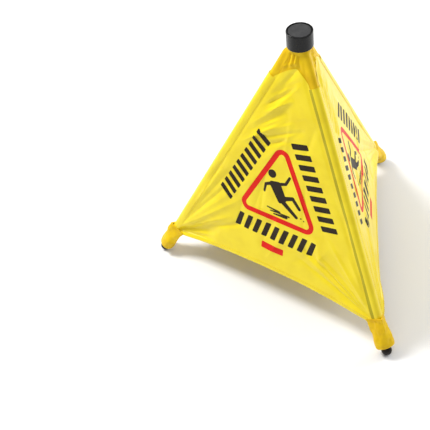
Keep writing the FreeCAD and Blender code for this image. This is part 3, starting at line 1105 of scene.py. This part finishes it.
def sleeve_reach(turn, share):
    """Radius of the sleeve: three-sided at its mouth, where it hugs the cloth, and oval at its end."""
    mouth = 0.0
    for side, away in ((CREST_TURN, MOUTH_FRONT), (-CREST_TURN, MOUTH_FRONT), (math.pi, MOUTH_BACK)):
        mouth += max(0.0, math.cos(turn - side) / away) ** MOUTH_CORNERS
    three_sided = mouth ** (-1 / MOUTH_CORNERS)
    oval = 1 / math.hypot(math.cos(turn) / END_OUTWARD, math.sin(turn) / END_SIDEWAYS)
    blend = smooth(0.0, 0.9, share)
    return (three_sided * (1 - blend) + oval * blend) * MM


def make_sleeve(leg, seed):
    """The gold sleeve over a leg's end and the skirt's corner: sewn shut round the rubber foot."""
    down, outward, round_way = leg_axes(leg)
    length = SLEEVE_END - SLEEVE_START

    def outside_at(turn, share, reach):
        return APEX + down * (SLEEVE_START + length * share) + leg_way(leg, turn) * reach

    count = 56
    rings = []
    for share, off in sleeve_profile():
        ring = []
        for j in range(count):
            turn = 2 * math.pi * j / count
            place = Vector((math.cos(turn) * 1.6, math.sin(turn) * 1.6, share * 3.8 + seed * 4.3))
            crumple = 1.9 * noise.noise(place) + 1.1 * noise.noise(place * 2.3)
            crumple *= smooth(0, 0.1, share) * (1 - smooth(0.8, 1.0, share))
            reach = sleeve_reach(turn, share) + (crumple - off) * MM
            ring.append(outside_at(turn, share, reach))
        rings.append(ring)
    points, faces = loft(rings, True)
    sleeve = mesh_object(f"sleeve_{leg}", points, [face[::-1] for face in faces], [GOLD], crisp=75)
    places = []
    for share in SLEEVE_STITCH_ROWS:
        for j in range(SLEEVE_STITCHES):
            turn = 2 * math.pi * (j + 0.5) / SLEEVE_STITCHES
            sideways = round_way * math.cos(turn) - outward * math.sin(turn)
            reach = sleeve_reach(turn, share) + 0.1 * MM
            places.append((outside_at(turn, share, reach), sideways, leg_way(leg, turn)))
    thread = stitches(f"sleeve_stitching_{leg}", places)
    attach((sleeve, thread), "leg_" + leg, "foot_sleeve_" + leg)


make_skirt()
make_neck_ring()
for number, leg in enumerate(LEGS):
    make_leg_pocket(leg)
    make_collar_band(leg)
    make_sleeve(leg, SEED + number)


# ------ camera, light and floor


# The camera's turn round the sign, height and roll in degrees, then its aim, distance and lens in mm
CAMERA_ANGLES = (-18.69, 45.93, -8.28)
CAMERA_TARGET = (-0.1612, 0.0545, 0.1285)
CAMERA_DISTANCE = 1.74282
LENS = 79.73

FLOOR_SIZE = 14
FLOOR_COLOUR = (0.9, 0.9, 0.9, 1)
STUDIO_GLOW = 0.4
# Each lamp's place, aim, size in metres and power in watts
LAMPS = {
    "front": ((-1.3, -2.0, 1.5), (0, 0, 0.2), (1.6, 1.2), 6),
    "rake": ((-1.05, 1.1, 2.15), (0, 0, 0.2), (0.7, 0.7), 52),
    "side": ((2.2, 0.2, 1.0), (0, 0, 0.25), (1.2, 1.2), 33),
    "top": ((0.2, 0.2, 2.6), (0, 0, 0), (2.4, 2.4), 14),
}


def make_camera():
    azimuth, elevation, roll = (math.radians(a) for a in CAMERA_ANGLES)
    target = Vector(CAMERA_TARGET)
    back = Vector((math.sin(azimuth) * math.cos(elevation), -math.cos(azimuth) * math.cos(elevation),
                   math.sin(elevation)))
    right = (-back).cross(UP).normalized()
    above = right.cross(-back)
    rolled_right = right * math.cos(roll) + above * math.sin(roll)
    rolled_above = -right * math.sin(roll) + above * math.cos(roll)
    data = bpy.data.cameras.new("camera")
    data.sensor_width = 36
    data.lens = LENS
    data.clip_start, data.clip_end = 0.05, 20
    camera = bpy.data.objects.new("camera", data)
    camera.matrix_world = Matrix.Translation(target + back * CAMERA_DISTANCE) @ Matrix(
        (rolled_right, rolled_above, back)).transposed().to_4x4()
    bpy.context.scene.collection.objects.link(camera)
    bpy.context.scene.camera = camera


def area_light(name, place, target, size, power):
    data = bpy.data.lights.new(name, "AREA")
    data.shape = "RECTANGLE"
    data.size, data.size_y = size
    data.energy = power
    light = bpy.data.objects.new(name, data)
    light.location = place
    light.rotation_euler = (Vector(target) - Vector(place)).to_track_quat("-Z", "Y").to_euler()
    bpy.context.scene.collection.objects.link(light)


def make_stage():
    material, _, _, shader = new_material("pale_floor")
    shader.inputs["Base Color"].default_value = FLOOR_COLOUR
    shader.inputs["Roughness"].default_value = 0.9
    bpy.ops.mesh.primitive_plane_add(size=FLOOR_SIZE)
    floor = bpy.context.object
    floor.name = "floor"
    floor.data.materials.append(material)
    world = bpy.data.worlds.new("studio")
    bpy.context.scene.world = world
    world.use_nodes = True
    background = world.node_tree.nodes["Background"]
    background.inputs["Color"].default_value = (1, 1, 1, 1)
    background.inputs["Strength"].default_value = STUDIO_GLOW
    for name, lamp in LAMPS.items():
        area_light(name, *lamp)


make_camera()
make_stage()
bpy.context.scene.view_settings.view_transform = "Standard"
